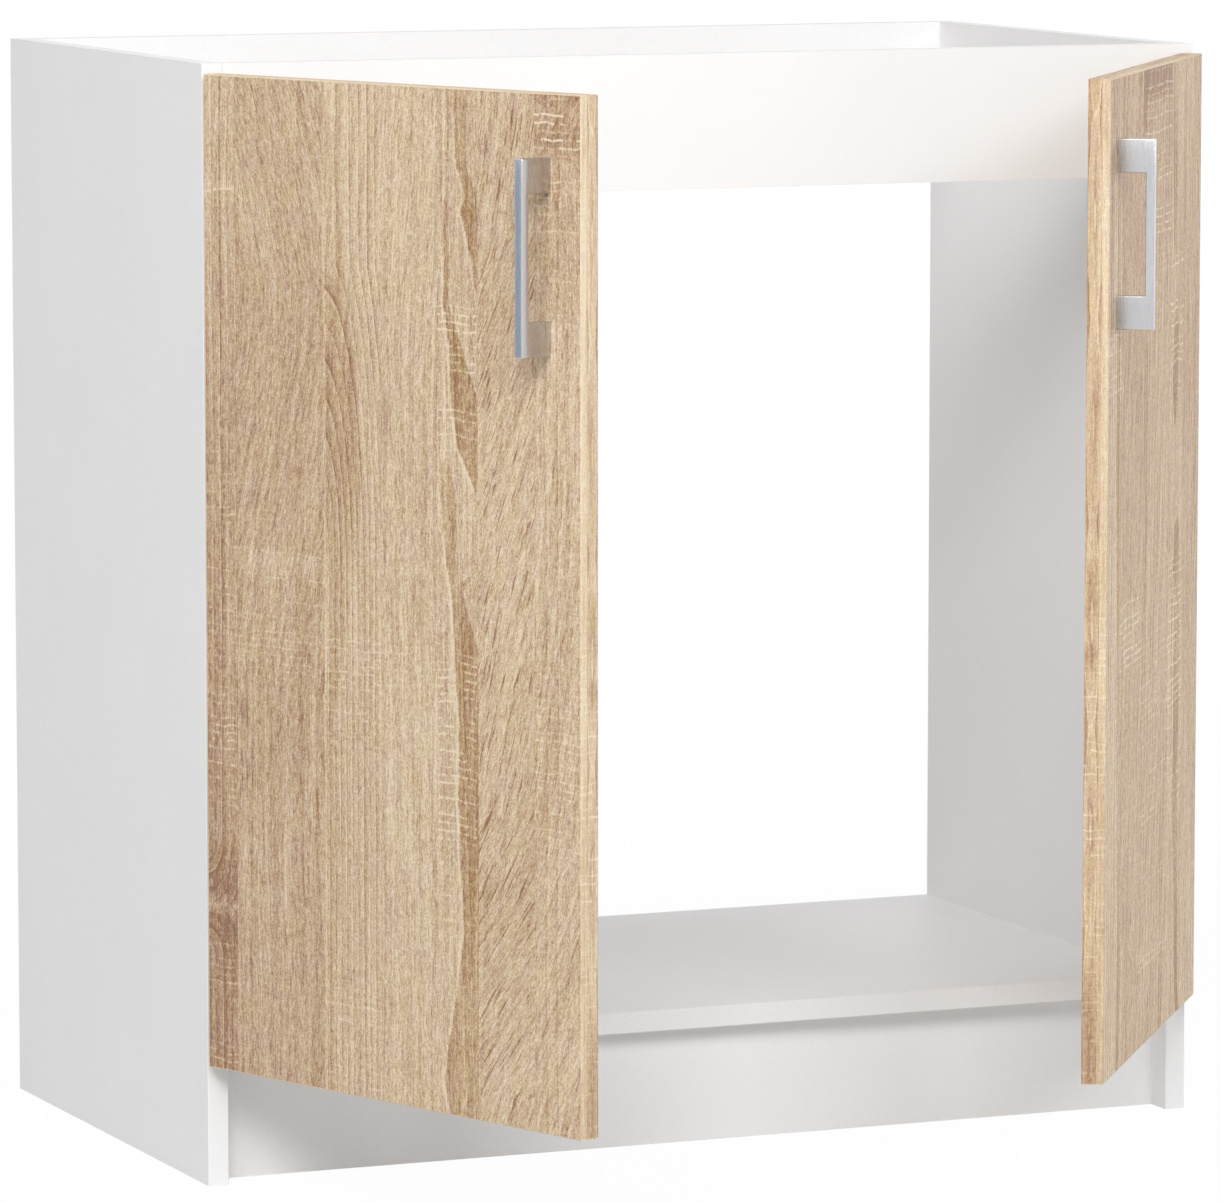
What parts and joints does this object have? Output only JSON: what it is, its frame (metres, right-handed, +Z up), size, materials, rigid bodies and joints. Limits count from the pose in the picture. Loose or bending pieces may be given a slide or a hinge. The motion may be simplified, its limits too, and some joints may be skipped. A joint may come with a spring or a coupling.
{
  "type": "sink base cabinet",
  "caption": "Open-backed two-door sink base cabinet: white carcass with rails and recessed plinth, light oak doors on concealed hinges, slim square bow handles.",
  "frame": {"origin": "floor level at mid width, in the middle of the thickness of the plinth board", "axes": "+X to the right seen from the front, +Y to the back, +Z up"},
  "size_m": [0.8033, 0.8095, 0.82],
  "materials": {
    "white_board": "matt white melamine on chipboard",
    "white_edge": "white edge band",
    "oak_board": "light sawn oak decor, matt",
    "oak_edge": "oak decor edge band",
    "handle_metal": "satin",
    "hinge_steel": "bright nickel plate",
    "zinc_steel": "zinc plated",
    "cam_zinc": "die cast zinc",
    "beech": "bare beech",
    "clear_bumper": "soft clear disc"
  },
  "bodies": {
    "cabinet": {"side_panel_left": "white_board", "left_side_edge_bands": "white_edge", "side_panel_right": "white_board", "right_side_edge_bands": "white_edge", "bottom_panel": "white_board", "front_rail": "white_board", "rear_rail": "white_board", "plinth_board": "white_board", "bottom_edge_band": "white_edge", "front_rail_edge_bands": "white_edge", "rear_rail_edge_bands": "white_edge", "dowels": "beech", "cam_bolts": "zinc_steel", "cam_locks": "cam_zinc", "left_upper_mounting_plate": "hinge_steel", "left_upper_hinge_arm": "hinge_steel", "left_lower_mounting_plate": "hinge_steel", "left_lower_hinge_arm": "hinge_steel", "left_plate_screws": "zinc_steel", "left_arm_screws": "zinc_steel", "left_arm_pins": "zinc_steel", "right_upper_mounting_plate": "hinge_steel", "right_upper_hinge_arm": "hinge_steel", "right_lower_mounting_plate": "hinge_steel", "right_lower_hinge_arm": "hinge_steel", "right_plate_screws": "zinc_steel", "right_arm_screws": "zinc_steel", "right_arm_pins": "zinc_steel"},
    "left_links": {"left_upper_link": "hinge_steel", "left_lower_link": "hinge_steel"},
    "left_door": {"left_upper_cup": "hinge_steel", "left_lower_cup": "hinge_steel", "left_cup_pins": "zinc_steel", "left_cup_screws": "zinc_steel", "left_door": "oak_board", "left_door_edge_bands": "oak_edge", "left_handle": "handle_metal", "left_handle_screws": "zinc_steel", "left_door_bumpers": "clear_bumper"},
    "right_links": {"right_upper_link": "hinge_steel", "right_lower_link": "hinge_steel"},
    "right_door": {"right_upper_cup": "hinge_steel", "right_lower_cup": "hinge_steel", "right_cup_pins": "zinc_steel", "right_cup_screws": "zinc_steel", "right_door": "oak_board", "right_door_edge_bands": "oak_edge", "right_handle": "handle_metal", "right_handle_screws": "zinc_steel", "right_door_bumpers": "clear_bumper"}
  },
  "joints": [
    {"name": "left_door_hinge", "type": "hinge", "parent": "cabinet", "child": "left_door", "pos_m": [-0.39161, -0.04296, 0.435], "axis": [0, 0, -1], "range_deg": [-69.7, 35.3]},
    {"name": "left_link_pivot", "type": "hinge", "parent": "cabinet", "child": "left_links", "pos_m": [-0.364, -0.0431, 0.435], "axis": [0, 0, -1], "range_deg": [-7.72, 15.22]},
    {"name": "right_door_hinge", "type": "hinge", "parent": "cabinet", "child": "right_door", "pos_m": [0.39161, -0.04296, 0.435], "axis": [0, 0, 1], "range_deg": [-53.3, 51.7]},
    {"name": "right_link_pivot", "type": "hinge", "parent": "cabinet", "child": "right_links", "pos_m": [0.364, -0.0431, 0.435], "axis": [0, 0, 1], "range_deg": [-11.3, 11.64]}
  ],
  "couplings": [
    {"joint": "left_link_pivot", "follows": "left_door_hinge", "ratio": -0.218},
    {"joint": "right_link_pivot", "follows": "right_door_hinge", "ratio": -0.218}
  ]
}
